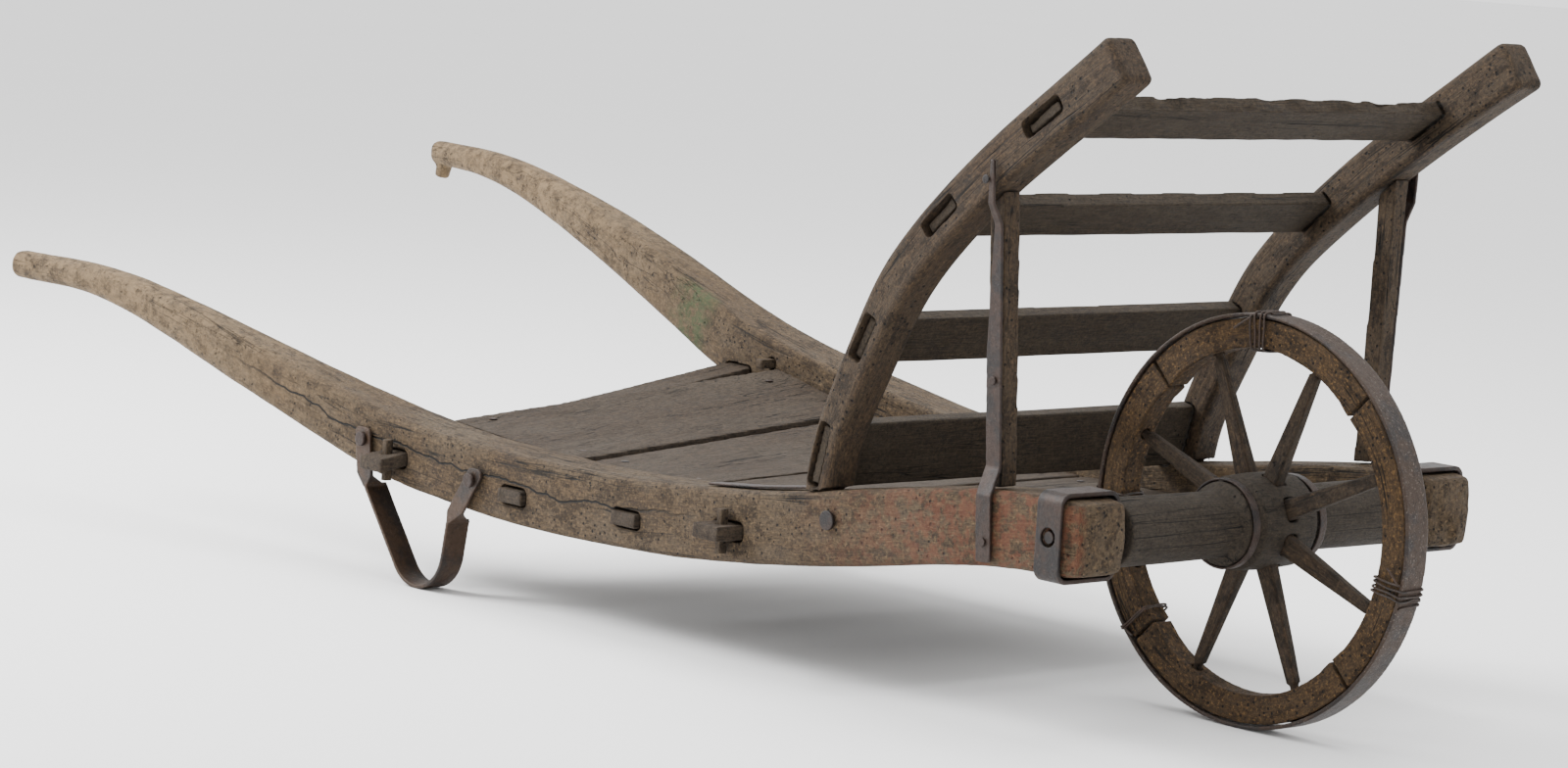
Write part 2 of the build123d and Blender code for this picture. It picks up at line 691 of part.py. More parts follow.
# Spokes: a flat tapering body, a tenon driven into the nave and a round tenon up into the felloe
spoke_root = nave_boss_radius - spoke_nave_depth
spokes = []
for number in range(spoke_count):
    angle = 360 / spoke_count * (number + 0.5)
    spoke_plane = Plane(origin=(axle_x, 0, axle_height), x_dir=(0, 1, 0),
                        z_dir=(cos(radians(angle)), 0, sin(radians(angle))))
    with BuildPart(spoke_plane) as spoke:
        for reach, (width, thickness) in ((spoke_root, spoke_foot), (felloe_inner - spoke_shoulder_bite, spoke_head)):
            with BuildSketch(spoke_plane.offset(reach)):
                RectangleRounded(thickness, width, thickness / 4)
        loft()
        with Locations((0, 0, felloe_inner - spoke_shoulder_bite + spoke_tenon_length / 2 - 1)):
            Cylinder(spoke_tenon_radius, spoke_tenon_length)
    spokes.append(spoke.part)
    spoke.part.label = f"spoke_{number + 1}"
    export_step(spoke.part, f"parts/spoke_{number + 1}.step")

# Felloes: four curved blocks, each with a hollowed inner edge and two spoke sockets
felloe_slice = 360 / felloe_count
joint_angle = degrees(felloe_joint_gap / 2 / felloe_outer)
felloes = []
for number in range(felloe_count):
    start = felloe_slice * (number - 0.5) + joint_angle
    stop = felloe_slice * (number + 0.5) - joint_angle
    middle = (start + stop) / 2
    with BuildPart() as felloe:
        with BuildSketch(Plane(origin=(axle_x, 0, axle_height), x_dir=(1, 0, 0), z_dir=(0, -1, 0))):
            with BuildLine():
                outer = CenterArc((0, 0), felloe_outer, start, stop - start)
                corner_a = (felloe_inner * cos(radians(stop)), felloe_inner * sin(radians(stop)))
                shoulder_a = (felloe_shoulder * cos(radians(stop - felloe_shoulder_angle)),
                              felloe_shoulder * sin(radians(stop - felloe_shoulder_angle)))
                shoulder_b = (felloe_shoulder * cos(radians(start + felloe_shoulder_angle)),
                              felloe_shoulder * sin(radians(start + felloe_shoulder_angle)))
                corner_b = (felloe_inner * cos(radians(start)), felloe_inner * sin(radians(start)))
                hollow = (felloe_hollow * cos(radians(middle)), felloe_hollow * sin(radians(middle)))
                Line(outer @ 1, corner_a)
                Line(corner_a, shoulder_a)
                ThreePointArc(shoulder_a, hollow, shoulder_b)
                Line(shoulder_b, corner_b)
                Line(corner_b, outer @ 0)
            make_face()
        extrude(amount=felloe_width / 2, both=True)
        for spoke in spokes:
            add(spoke, mode=Mode.SUBTRACT)
    felloes.append(felloe.part)

# Tyre
wheel_axis = Location((axle_x, 0, axle_height), (90, 0, 0))
with BuildPart() as tyre_nails:
    for number in range(felloe_count):
        for turn in (-tyre_nail_turn, tyre_nail_turn):
            angle = felloe_slice * number + turn
            nail_plane = Plane(origin=(axle_x, 0, axle_height), x_dir=(0, 1, 0),
                               z_dir=(cos(radians(angle)), 0, sin(radians(angle))))
            with BuildSketch(nail_plane.offset(wheel_radius - tyre_nail_length)):
                Circle(nail_radius)
            extrude(amount=tyre_nail_length - tyre_nail_countersink)
tyre_nails.part.label = "tyre_nails"
export_step(tyre_nails.part, "parts/tyre_nails.step")

with BuildPart() as tyre:
    with Locations(wheel_axis):
        Cylinder(wheel_radius, tyre_width)
        Cylinder(wheel_radius - tyre_thickness, tyre_width, mode=Mode.SUBTRACT)
    add(tyre_nails.part, mode=Mode.SUBTRACT)
tyre.part.label = "tyre"
export_step(tyre.part, "parts/tyre.step")

for number, felloe_part in enumerate(felloes):
    with BuildPart() as felloe:
        add(felloe_part)
        add(tyre_nails.part, mode=Mode.SUBTRACT)
    felloe.part.label = f"felloe_{number + 1}"
    export_step(felloe.part, f"parts/felloe_{number + 1}.step")

# Nave, turned in one piece with its long arms, its two bands and the iron pins in its ends
nave_half = inner_y - band_thickness - nave_side_clearance
nave_profile = (
    (0, 0), (nave_arm_radius - 1, 0), (nave_arm_radius, 6), (nave_arm_radius - 1, nave_half - nave_step_half - 8),
    (nave_step_radius, nave_half - nave_step_half), (nave_step_radius, nave_half - nave_boss_half - 4),
    (nave_boss_radius, nave_half - nave_boss_half), (nave_boss_radius + 2, nave_half), (0, nave_half),
)
with BuildPart() as nave:
    with BuildSketch(Plane(origin=(axle_x, -nave_half, axle_height), x_dir=(1, 0, 0), z_dir=(0, 0, 1))):
        Polygon(*nave_profile, align=None)
    revolve(axis=Axis((axle_x, 0, axle_height), (0, 1, 0)))
    mirror(about=Plane.XZ)
    for spoke in spokes:
        add(spoke, mode=Mode.SUBTRACT)
    for end in (-1, 1):
        with Locations(Location((axle_x, end * (nave_half - pin_depth_in_nave / 2), axle_height), (90, 0, 0))):
            Cylinder(pin_radius, pin_depth_in_nave, mode=Mode.SUBTRACT)
nave.part.label = "nave"
export_step(nave.part, "parts/nave.step")

with BuildPart() as nave_bands:
    for end in (-1, 1):
        band_y = end * (nave_step_half - nave_band_width / 2 - 2)
        with Locations(Location((axle_x, band_y, axle_height), (90, 0, 0))):
            Cylinder(nave_step_radius + fit_gap + nave_band_thickness, nave_band_width)
            Cylinder(nave_step_radius + fit_gap, nave_band_width, mode=Mode.SUBTRACT)
nave_bands.part.label = "nave_bands"
export_step(nave_bands.part, "parts/nave_bands.step")

with BuildPart() as axle_pins:
    for end in (-1, 1):
        low = nave_half - pin_depth_in_nave
        high = outer_y + band_thickness - 1
        with Locations(Location((axle_x, end * (low + high) / 2, axle_height), (90, 0, 0))):
            Cylinder(pin_radius, high - low)
axle_pins.part.label = "axle_pins"
export_step(axle_pins.part, "parts/axle_pins.step")

# Wire ties round the rim where the felloes have cracked
rim_middle = (wheel_radius - felloe_inner) / 2 + contact_gap
for number, (angle, turns) in enumerate(wire_places):
    with BuildPart() as wire:
        for turn in range(turns):
            lean = (turn - (turns - 1) / 2) * wire_pitch
            plane_angle = radians(angle + lean)
            loop_plane = Plane(
                origin=(axle_x + (wheel_radius - rim_middle) * cos(plane_angle), 0,
                        axle_height + (wheel_radius - rim_middle) * sin(plane_angle)),
                x_dir=(cos(plane_angle), 0, sin(plane_angle)),
                z_dir=(-sin(plane_angle), 0, cos(plane_angle)))
            with BuildSketch(loop_plane):
                RectangleRounded(2 * (rim_middle + wire_radius + wire_gap), tyre_width + 2 * (wire_radius + wire_gap), 4)
                RectangleRounded(2 * (rim_middle + wire_gap - wire_radius),
                                 tyre_width + 2 * (wire_gap - wire_radius), 3, mode=Mode.SUBTRACT)
            extrude(amount=wire_radius, both=True)
    wire.part.label = f"rim_wire_{number + 1}"
    export_step(wire.part, f"parts/rim_wire_{number + 1}.step")
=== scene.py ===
# %% [markdown]
# # An old wooden wheelbarrow
# The barrow's shape comes from its CAD frame. Each cell below adds one step of the look: worn timber,
# forged iron, soft light, and a camera standing at the front right of the barrow.

import math

import bpy
import numpy as np
from mathutils import Matrix, Vector


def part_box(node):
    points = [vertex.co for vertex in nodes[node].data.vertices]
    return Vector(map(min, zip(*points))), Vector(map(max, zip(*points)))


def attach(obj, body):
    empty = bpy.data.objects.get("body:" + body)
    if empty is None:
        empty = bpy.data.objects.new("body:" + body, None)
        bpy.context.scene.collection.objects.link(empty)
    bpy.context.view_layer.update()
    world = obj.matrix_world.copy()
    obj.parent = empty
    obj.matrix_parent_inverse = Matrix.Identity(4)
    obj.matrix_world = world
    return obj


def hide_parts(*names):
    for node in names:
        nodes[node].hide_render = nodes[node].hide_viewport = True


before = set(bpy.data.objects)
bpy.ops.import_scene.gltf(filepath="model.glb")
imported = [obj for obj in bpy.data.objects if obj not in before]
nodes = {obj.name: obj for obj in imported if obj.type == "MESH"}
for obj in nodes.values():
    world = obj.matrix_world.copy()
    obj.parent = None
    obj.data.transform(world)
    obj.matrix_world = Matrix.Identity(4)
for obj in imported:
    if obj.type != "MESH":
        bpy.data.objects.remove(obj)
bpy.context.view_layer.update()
axle = Vector((0.855, 0.0, 0.225))

# %% [markdown]
# ## Shader maths
# A small class wraps a socket, so that shader formulas are written as ordinary Python arithmetic.
# Single values become Math nodes; colours and vectors become Mix or Vector Math nodes.


# %% Shader class
class Flow:
    """A socket in a material's node tree that arithmetic works on."""

    def __init__(self, tree, socket):
        self.tree = tree
        self.socket = socket

    def _math(self, operation, other, swap=False):
        many = self.socket.type in ("VECTOR", "RGBA")
        if isinstance(other, Flow):
            many = many or other.socket.type in ("VECTOR", "RGBA")
        node = self.tree.nodes.new("ShaderNodeVectorMath" if many else "ShaderNodeMath")
        node.operation = operation
        pair = (other, self) if swap else (self, other)
        for slot, value in zip(node.inputs, pair):
            if isinstance(value, Flow):
                self.tree.links.new(value.socket, slot)
            elif many:
                slot.default_value = (value, value, value) if isinstance(value, (int, float)) else value
            else:
                slot.default_value = value
        return Flow(self.tree, node.outputs[0])

    def __add__(self, other):
        return self._math("ADD", other)

    def __radd__(self, other):
        return self._math("ADD", other, swap=True)

    def __sub__(self, other):
        return self._math("SUBTRACT", other)

    def __rsub__(self, other):
        return self._math("SUBTRACT", other, swap=True)

    def __mul__(self, other):
        return self._math("MULTIPLY", other)

    def __rmul__(self, other):
        return self._math("MULTIPLY", other, swap=True)

    def __truediv__(self, other):
        return self._math("DIVIDE", other)

    def __rtruediv__(self, other):
        return self._math("DIVIDE", other, swap=True)

    def __pow__(self, other):
        return self._math("POWER", other)

    def __neg__(self):
        return self._math("MULTIPLY", -1.0)

    def high(self, other):
        return self._math("MAXIMUM", other)

    def low(self, other):
        return self._math("MINIMUM", other)

    def ramp(self, start, stop):
        """0 below start, 1 above stop, and a straight line between; start may be the larger."""
        return ((self - start) * (1.0 / (stop - start))).high(0.0).low(1.0)


class Paint:
    """One material under construction."""

    def __init__(self, name):
        self.material = bpy.data.materials.new(name)
        self.material.use_nodes = True
        self.tree = self.material.node_tree
        self.shader = self.tree.nodes["Principled BSDF"]

    def node(self, kind, settings=None, output=0, **inputs):
        """Any other node: its settings first, then its sockets by name, as values or flows."""
        made = self.tree.nodes.new(kind)
        for key, value in (settings or {}).items():
            setattr(made, key, value)
        for key, value in inputs.items():
            slot = made.inputs[key.replace("_", " ")]
            if isinstance(value, Flow):
                self.tree.links.new(value.socket, slot)
            else:
                slot.default_value = value
        return Flow(self.tree, made.outputs[output])

    def grain(self):
        """Timber coordinates in metres: along the grain, across it, and through it."""
        return self.node("ShaderNodeAttribute", {"attribute_name": "grain"}, output=1)

    def part(self, flow, axis):
        """One number of a vector: axis 0, 1 or 2."""
        return self.node("ShaderNodeSeparateXYZ", Vector=flow, output=axis)

    def noise(self, place, scale, detail=4.0, roughness=0.55, stretch=(1, 1, 1), distortion=0.0):
        return self.node("ShaderNodeTexNoise", Vector=place * stretch, Scale=scale, Detail=detail,
                         Roughness=roughness, Distortion=distortion)

    def cells(self, place, scale, stretch=(1, 1, 1), randomness=1.0):
        return self.node("ShaderNodeTexVoronoi", Vector=place * stretch, Scale=scale, Randomness=randomness)

    def mix(self, share, a, b):
        """Colour a where share is 0 and colour b where it is 1."""
        made = self.tree.nodes.new("ShaderNodeMix")
        made.data_type = "RGBA"
        for slot, value in ((made.inputs[0], share), (made.inputs[6], a), (made.inputs[7], b)):
            if isinstance(value, Flow):
                self.tree.links.new(value.socket, slot)
            elif slot.type == "RGBA":
                slot.default_value = (*value, 1.0)
            else:
                slot.default_value = value
        return Flow(self.tree, made.outputs[2])

    def finish(self, color, roughness, height=None, depth=0.001, metallic=0.0, specular=0.35):
        """Joins the results to the shader's sockets."""
        links = self.tree.links
        links.new(color.socket, self.shader.inputs["Base Color"])
        if isinstance(roughness, Flow):
            links.new(roughness.socket, self.shader.inputs["Roughness"])
        else:
            self.shader.inputs["Roughness"].default_value = roughness
        self.shader.inputs["Metallic"].default_value = metallic
        self.shader.inputs["Specular IOR Level"].default_value = specular
        if height is not None:
            bump = self.node("ShaderNodeBump", Height=height, Distance=depth, Strength=0.9)
            links.new(bump.socket, self.shader.inputs["Normal"])
        return self.material


# %% [markdown]
# ## Weathered wood
# One recipe serves every timber. Fine fibres run along the grain, mottled dirt and grey patches lie over
# them, short dark checks open along the fibres, and worm holes and dust gather in places.


# %% Wood recipe
def wood(name, light, dark, grey, seed, stripe=0.5, worm=0.35, check=0.5, polish=0.0, speckle=0.0, dirt=0.75):
    """light, dark: the wood's own colours. grey: its weathered skin. seed moves the pattern."""
    p = Paint(name)
    place = p.grain() + (seed * 1.37, seed * 0.71, seed * 0.53)
    fibres = p.noise(place, 26.0, 9.0, 0.7, stretch=(1.3, 24.0, 24.0), distortion=0.3)
    fine = p.noise(place, 60.0, 6.0, 0.75, stretch=(1.8, 14.0, 14.0))
    mottles = p.noise(place, 36.0, 9.0, 0.74, stretch=(0.7, 1.3, 1.3))
    patches = p.noise(place, 8.0, 7.0, 0.68, stretch=(0.6, 1.4, 1.4))
    dust = p.noise(place, 240.0, 5.0, 0.78)
    crack_noise = p.noise(place, 4.2, 3.0, 0.5, stretch=(0.35, 17.0, 17.0), distortion=0.2)
    crack_here = p.noise(place, 6.3, 2.0, 0.5, stretch=(0.8, 3.0, 3.0)).ramp(0.5, 0.58)
    cracks = ((crack_noise - 0.5) * (crack_noise - 0.5)).ramp(0.00016 * check + 0.00001, 0.0) * crack_here
    worm_cells = p.cells(place, 105.0)
    worms = worm_cells.ramp(0.19, 0.12) * patches.ramp(0.6 - 0.2 * worm, 0.63 - 0.2 * worm)
    own = p.mix((fibres * stripe + mottles * (1.0 - stripe)).ramp(0.43, 0.57), dark, light)
    skin = p.mix(patches.ramp(0.4, 0.6) * 0.7, own, grey)
    skin = p.mix(fine.ramp(0.55, 0.38) * 0.5, skin, tuple(0.4 * c for c in dark))
    skin = p.mix(mottles.ramp(0.5, 0.57) * dirt, skin, tuple(0.45 * c for c in dark))
    skin = p.mix(dust.ramp(0.54, 0.62) * 0.7, skin, tuple(0.3 * c for c in dark))
    skin = p.mix(dust.ramp(0.45, 0.36) * (0.35 + speckle), skin, tuple(min(1.0, 1.8 * c) for c in light))
    skin = p.mix(cracks.high(worms) * 0.92, skin, (0.002, 0.0015, 0.001))
    height = fibres * 0.5 + fine * 0.3 + mottles * 0.7 + dust * 0.12 - cracks * 1.4 - worms * 1.6
    rough = mottles * 0.25 + (0.6 - 0.3 * polish)
    return p, skin, rough, height


def finish_wood(parts, depth=0.0032, specular=0.2):
    p, skin, rough, height = parts
    return p.finish(skin, rough, height, depth, specular=specular)


# %% [markdown]
# ## Forged iron
# Hammered, rusted iron: a dark scale that shows through brown rust, with paler scratches where it is rubbed.


# %% Iron recipe
def iron(name, scale_colour, rust, bright, seed, rubbed=0.3, pitting=1.0):
    p = Paint(name)
    place = p.grain() + (seed * 1.1, seed * 0.4, seed * 0.9)
    broad = p.noise(place, 18.0, 9.0, 0.72)
    pits = p.noise(place, 150.0, 7.0, 0.76)
    flecks = p.noise(place, 420.0, 3.0, 0.6)
    hammer = p.cells(place, 60.0)
    colour = p.mix(broad.ramp(0.42, 0.52) * 0.9, scale_colour, rust)
    colour = p.mix(pits.ramp(0.52, 0.64) * 0.7, colour, tuple(0.35 * c for c in rust))
    colour = p.mix(pits.ramp(0.42, 0.34) * 0.5, colour, tuple(1.7 * c for c in rust))
    colour = p.mix(flecks.ramp(0.6, 0.7) * rubbed, colour, bright)
    height = pits * pitting + broad * 0.5 + hammer * 0.35 + flecks * 0.15
    rough = broad * 0.3 + pits * 0.35 + 0.16
    return p, colour, rough, height


def finish_iron(parts, depth=0.0011, metallic=0.35):
    p, colour, rough, height = parts
    return p.finish(colour, rough, height, depth, metallic=metallic, specular=0.4)


# %% [markdown]
# ## Noise for carving
# Smooth random fields, worked out for many points at once. They push each timber's surface inward a little,
# so edges wander, corners wear and faces show the marks of an axe.


# %% Noise field
def lattice(points, seed):
    """Smooth values from -1 to 1 at rows of x, y, z, one unit apart."""
    base = np.floor(points).astype(np.int64)
    part = points - base
    part = part * part * (3 - 2 * part)
    total = np.zeros(len(points))
    for dx in (0, 1):
        for dy in (0, 1):
            for dz in (0, 1):
                key = (base[:, 0] + dx) * 73856093 ^ (base[:, 1] + dy) * 19349663 ^ (base[:,
                                                                                     2] + dz) * 83492791
                key = (key ^ (seed * 2654435761)) & 0xFFFFFFFF
                key = (key ^ (key >> 15)) * 2246822519 & 0xFFFFFFFF
                key = (key ^ (key >> 13)) * 3266489917 & 0xFFFFFFFF
                value = ((key ^ (key >> 16)) & 0xFFFF) / 32767.5 - 1.0
                weight = np.ones(len(points))
                for axis, step in enumerate((dx, dy, dz)):
                    weight = weight * (part[:, axis] if step else 1 - part[:, axis])
                total += value * weight
    return total


def field(points, cell, seed, octaves=3):
    """Layered noise; cell gives the size of the largest lumps in metres along each axis."""
    total = np.zeros(len(points))
    strength = 1.0
    scaled = points / np.array(cell)
    for octave in range(octaves):
        total += strength * lattice(scaled + 17.3 * octave, seed + octave)
        scaled = scaled * 2.03
        strength *= 0.5
    return total / 1.6


print("noise check", lattice(np.array([[0.2, 0.4, 0.6]]), 3).round(3))

# %% [markdown]
# ## Timber coordinates
# Every timber gets its own along, across and through distances, so that the grain follows its bends.


# %% Timber coordinates
def along_curve(points, curve):
    """Distance along a bent line in the side view, and distance off it, for rows of x, y, z."""
    curve = np.array(curve)
    flat = points[:, (0, 2)]
    best = np.full(len(points), 1e9)
    along = np.zeros(len(points))
    off = np.zeros(len(points))
    run = 0.0
    for a, b in zip(curve[:-1], curve[1:]):
        step = b - a
        length = float(np.hypot(*step))
        unit = step / length
        rel = flat - a
        share = np.clip(rel @ unit, 0.0, length)
        gap = rel - share[:, None] * unit
        distance = np.hypot(gap[:, 0], gap[:, 1])
        near = distance < best
        best[near] = distance[near]
        along[near] = run + (rel @ unit)[near]
        off[near] = (rel[:, 1] * unit[0] - rel[:, 0] * unit[1])[near]
        run += length
    return np.stack([along, points[:, 1], off], axis=1)


def along_axis(points, axis, start):
    """Distances along and across a straight timber."""
    axis = np.array(axis, float) / np.linalg.norm(axis)
    helper = np.array((0.0, 0.0, 1.0)) if abs(axis[2]) < 0.8 else np.array((1.0, 0.0, 0.0))
    side = np.cross(helper, axis)
    side /= np.linalg.norm(side)
    rel = points - np.array(start)
    return np.stack([rel @ axis, rel @ side, rel @ np.cross(axis, side)], axis=1)


def round_wheel(points):
    """Distances along a felloe's curve, across the rim, and out from the axle."""
    flat = points[:, (0, 2)] - np.array((axle.x, axle.z))
    radius = np.hypot(flat[:, 0], flat[:, 1])
    angle = np.arctan2(flat[:, 1], flat[:, 0])
    return np.stack([angle * 0.2, points[:, 1], radius], axis=1)


def behind(*pairs):
    """Points of a side line given as distance behind the axle and height above the floor, in metres."""
    return [(axle.x - back, height) for back, height in pairs]


right_line = behind((-0.05, 0.225), (0, 0.225), (0.4, 0.173), (0.7, 0.147), (0.94, 0.147), (1.175, 0.168),
                    (1.33, 0.203), (1.49, 0.242), (1.7, 0.291), (1.83, 0.305), (1.95, 0.306))
left_line = behind((-0.05, 0.225), (0, 0.225), (0.4, 0.181), (0.7, 0.186), (0.94, 0.222), (1.175, 0.28),
                   (1.33, 0.335), (1.49, 0.384), (1.7, 0.436), (1.83, 0.454), (1.95, 0.456))
right_rise = behind((0.372, 0.18), (0.352, 0.292), (0.318, 0.365), (0.268, 0.457), (0.199, 0.534),
                    (0.123, 0.6),
                    (0.041, 0.661), (-0.065, 0.738))
left_rise = behind((0.372, 0.18), (0.350, 0.292), (0.315, 0.365), (0.262, 0.457), (0.185, 0.534),
                   (0.103, 0.6),
                   (0.017, 0.661), (-0.1, 0.742))
print("beam curve points", len(right_line), "upright curve points", len(right_rise))

# %% [markdown]
# ## Carving a timber
# The CAD solid is remeshed finely, its corners are worn, and noise in timber coordinates pushes its skin
# inward.
# The result stands in for the CAD node, which keeps its place in the collision model, hidden.


# %% Carving helper
def remeshed(name, cell, wear):
    """A fine, slightly worn copy of one CAD node's solid."""
    source = nodes[name]
    work = bpy.data.objects.new("work", source.data.copy())
    bpy.context.scene.collection.objects.link(work)
    grid = work.modifiers.new("grid", "REMESH")
    grid.mode = "VOXEL"
    grid.voxel_size = cell
    grid.use_smooth_shade = True
    soften = work.modifiers.new("soften", "SMOOTH")
    soften.iterations = wear
    soften.factor = 0.5
    bpy.context.view_layer.update()
    shaped = work.evaluated_get(bpy.context.evaluated_depsgraph_get())
    mesh = bpy.data.meshes.new_from_object(shaped)
    bpy.data.objects.remove(work)
    return mesh


def read_points(mesh, kind="co"):
    values = np.empty(len(mesh.vertices) * 3, dtype=np.float64)
    if kind == "co":
        mesh.vertices.foreach_get("co", values)
    else:
        mesh.vertex_normals.foreach_get("vector", values)
    return values.reshape(-1, 3)


def set_grain(mesh, grain):
    layer = mesh.attributes.new("grain", "FLOAT_VECTOR", "POINT")
    layer.data.foreach_set("vector", grain.astype(np.float32).ravel())


def carve(name, grain_of, material, body="barrow", cell=0.003, wear=3, hew=0.0016, lump=(0.16, 0.045, 0.045),
          ripple=0.0006, ripple_cell=(0.05, 0.006, 0.006), seed=1, extra=None):
    """Replaces one CAD node with its carved copy."""
    mesh = remeshed(name, cell, wear)
    points = read_points(mesh)
    normals = read_points(mesh, "normal")
    grain = grain_of(points)
    depth = hew * (0.5 + 0.5 * field(grain, lump, seed))
    depth += ripple * (0.5 + 0.5 * field(grain, ripple_cell, seed + 40, 2))
    if extra is not None:
        depth = depth + extra(points, normals, grain)
    points = points - normals * depth[:, None]
    low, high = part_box(name)
    points = np.clip(points, np.array(low), np.array(high))
    mesh.vertices.foreach_set("co", points.astype(np.float32).ravel())
    set_grain(mesh, grain)
    mesh.materials.clear()
    mesh.materials.append(material)
    mesh.polygons.foreach_set("use_smooth", np.ones(len(mesh.polygons), dtype=bool))
    mesh.update()
    piece = bpy.data.objects.new(f"{name}_worn", mesh)
    bpy.context.scene.collection.objects.link(piece)
    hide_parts(name)
    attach(piece, body)
    return piece


# %% [markdown]
# ## Timber materials

# %% Side beam material
def beam_timber(name, seed, right):
    """Painted light on the handles, which are painted paler as if lit, with a long split and old paint on one
    beam and moss on the other.
    """
    p, skin, rough, height = wood(name, (0.115, 0.074, 0.037), (0.03, 0.019, 0.011), (0.09, 0.066, 0.041),
                                  seed, stripe=0.3,
                                  worm=0.75, check=1.0, speckle=0.1)
    timber = p.grain()
    along = p.part(timber, 0)
    side = p.part(timber, 1)
    off = p.part(timber, 2)
    chips = p.noise(timber, 60.0, 8.0, 0.75)
    # Painted light: the handle end of each beam is painted paler in chipped patches, standing in for the
    # lamp's light there.
    handle_light = along.ramp(1.2, 1.7)
    skin = p.mix(handle_light * chips.ramp(0.62, 0.42) * 0.6, skin, (0.24, 0.165, 0.09))
    if right:
        outer = side.ramp(-0.300, -0.308)
        wander = p.noise(timber, 3.0, 4.0, 0.6, stretch=(2.2, 0.0, 0.0)) - 0.5
        miss = off + 0.004 - wander * 0.05
        split = (miss * miss).ramp(0.0000022, 0.0000004) * outer * along.ramp(0.6,
                                                                              0.75) * along.ramp(1.55, 1.4)
        paint = outer * along.ramp(0.46, 0.2) * chips.ramp(0.46, 0.54)
        skin = p.mix(paint * 0.55, skin, (0.11, 0.034, 0.017))
        skin = p.mix(split * 0.97, skin, (0.001, 0.001, 0.001))
        height = height - split * 2.5
    else:
        inner = side.ramp(0.262, 0.25)
        moss = inner * along.ramp(1.25, 1.28) * along.ramp(1.36, 1.31) * chips.ramp(0.42, 0.55)
        skin = p.mix(moss * 0.7, skin, (0.036, 0.058, 0.022))
    return finish_wood((p, skin, rough, height), depth=0.0036)


# %% Timber materials
right_beam_wood = beam_timber("right_beam_timber", 1, True)
left_beam_wood = beam_timber("left_beam_timber", 9, False)
upright_wood = finish_wood(wood("upright_timber",
                                (0.078, 0.047, 0.024), (0.02, 0.013, 0.008), (0.05, 0.035, 0.021), 2,
                                stripe=0.5, worm=0.7, check=0.8))
slat_wood = finish_wood(wood("slat_timber",
                             (0.048, 0.033, 0.019), (0.016, 0.011, 0.007), (0.042, 0.031, 0.02), 3,
                             stripe=0.6, worm=0.0, check=0.2, dirt=0.3))
bed_wood = finish_wood(wood("bed_timber",
                            (0.058, 0.039, 0.024), (0.018, 0.012, 0.008), (0.052, 0.04, 0.028), 4, worm=0.1,
                            stripe=0.65, check=0.9, dirt=0.4))
nave_wood = finish_wood(wood("nave_timber",
                             (0.042, 0.031, 0.02), (0.016, 0.012, 0.009), (0.038, 0.03, 0.022), 5,
                             stripe=0.65, worm=0.0, check=1.0, dirt=0.3))
spoke_wood = finish_wood(wood("spoke_timber",
                              (0.055, 0.034, 0.018), (0.016, 0.01, 0.006), (0.036, 0.026, 0.017), 6,
                              stripe=0.6, worm=0.1))
felloe_wood = finish_wood(wood("felloe_timber",
                               (0.11, 0.06, 0.021), (0.024, 0.014, 0.007), (0.052, 0.032, 0.016), 7,
                               stripe=0.25, worm=0.9, speckle=0.35, check=0.5), depth=0.0036)
wedge_wood = finish_wood(wood("wedge_timber",
                              (0.085, 0.056, 0.03), (0.024, 0.016, 0.01), (0.07, 0.052, 0.035), 8))
strap_iron = finish_iron(iron("strap_iron_worn",
                              (0.01, 0.008, 0.008), (0.028, 0.015, 0.01), (0.1, 0.088, 0.08), 1))
tyre_iron = finish_iron(iron("tyre_iron_worn",
                             (0.016, 0.012, 0.011), (0.036, 0.021, 0.013), (0.26, 0.22, 0.18), 2,
                             rubbed=0.5))
hoop_iron = finish_iron(iron("hoop_iron_worn",
                             (0.016, 0.011, 0.009), (0.042, 0.022, 0.011), (0.13, 0.1, 0.08), 3))
nail_iron = finish_iron(iron("nail_iron_worn",
                             (0.009, 0.007, 0.007), (0.024, 0.013, 0.009), (0.08, 0.07, 0.06), 4))
wire_iron = finish_iron(iron("wire_iron_worn",
                             (0.022, 0.018, 0.016), (0.04, 0.023, 0.015), (0.14, 0.12, 0.1), 5))

# %% [markdown]
# ## Side beams, uprights and slats

# %% Worn ends
def worn_beam_end(chipped):
    """Rounds off a beam's wheel end; chipped adds deep broken places there."""
    def extra(points, normals, grain):
        near = np.clip(1.0 - (grain[:, 0] - 0.008) / 0.04, 0.0, 1.0)
        rim = np.hypot((np.abs(points[:, 1]) - 0.276) / 0.039, grain[:, 2] / 0.042)
        lumps = np.clip(field(points, (0.02, 0.025, 0.03), 7), 0.0, 1.0)
        return near * near * (0.009 * np.clip(rim - 0.7, 0.0, 0.6) + chipped * lumps)
    return extra


def ragged_top(points, normals, grain):
    """Bark-like waste along the upper edge of the top slat."""
    return np.clip(normals[:, 2], 0.0,
                   1.0) * 0.007 * np.clip(field(points, (0.03, 0.035, 0.02), 5) + 0.25, 0.0, 1.0)


# %% Long bent timbers
carve("right_beam", lambda points: along_curve(points, right_line), right_beam_wood, cell=0.0028,
      hew=0.003, seed=11,
      ripple=0.0011, extra=worn_beam_end(0.002))
carve("left_beam", lambda points: along_curve(points, left_line), left_beam_wood, cell=0.0028, hew=0.003,
      seed=12,
      ripple=0.0011, extra=worn_beam_end(0.009))
carve("right_upright", lambda p: along_curve(p, right_rise), upright_wood, cell=0.0024, hew=0.002, seed=13)
carve("left_upright", lambda p: along_curve(p, left_rise), upright_wood, cell=0.0024, hew=0.002, seed=14)
print("long timbers carved")

# %% Straight timbers
def across(start):
    """Timber coordinates for a piece that lies across the barrow."""
    return lambda points: along_axis(points, (0, 1, 0), start)


def upward(start):
    """Timber coordinates for an upright piece."""
    return lambda points: along_axis(points, (0, 0, 1), start)


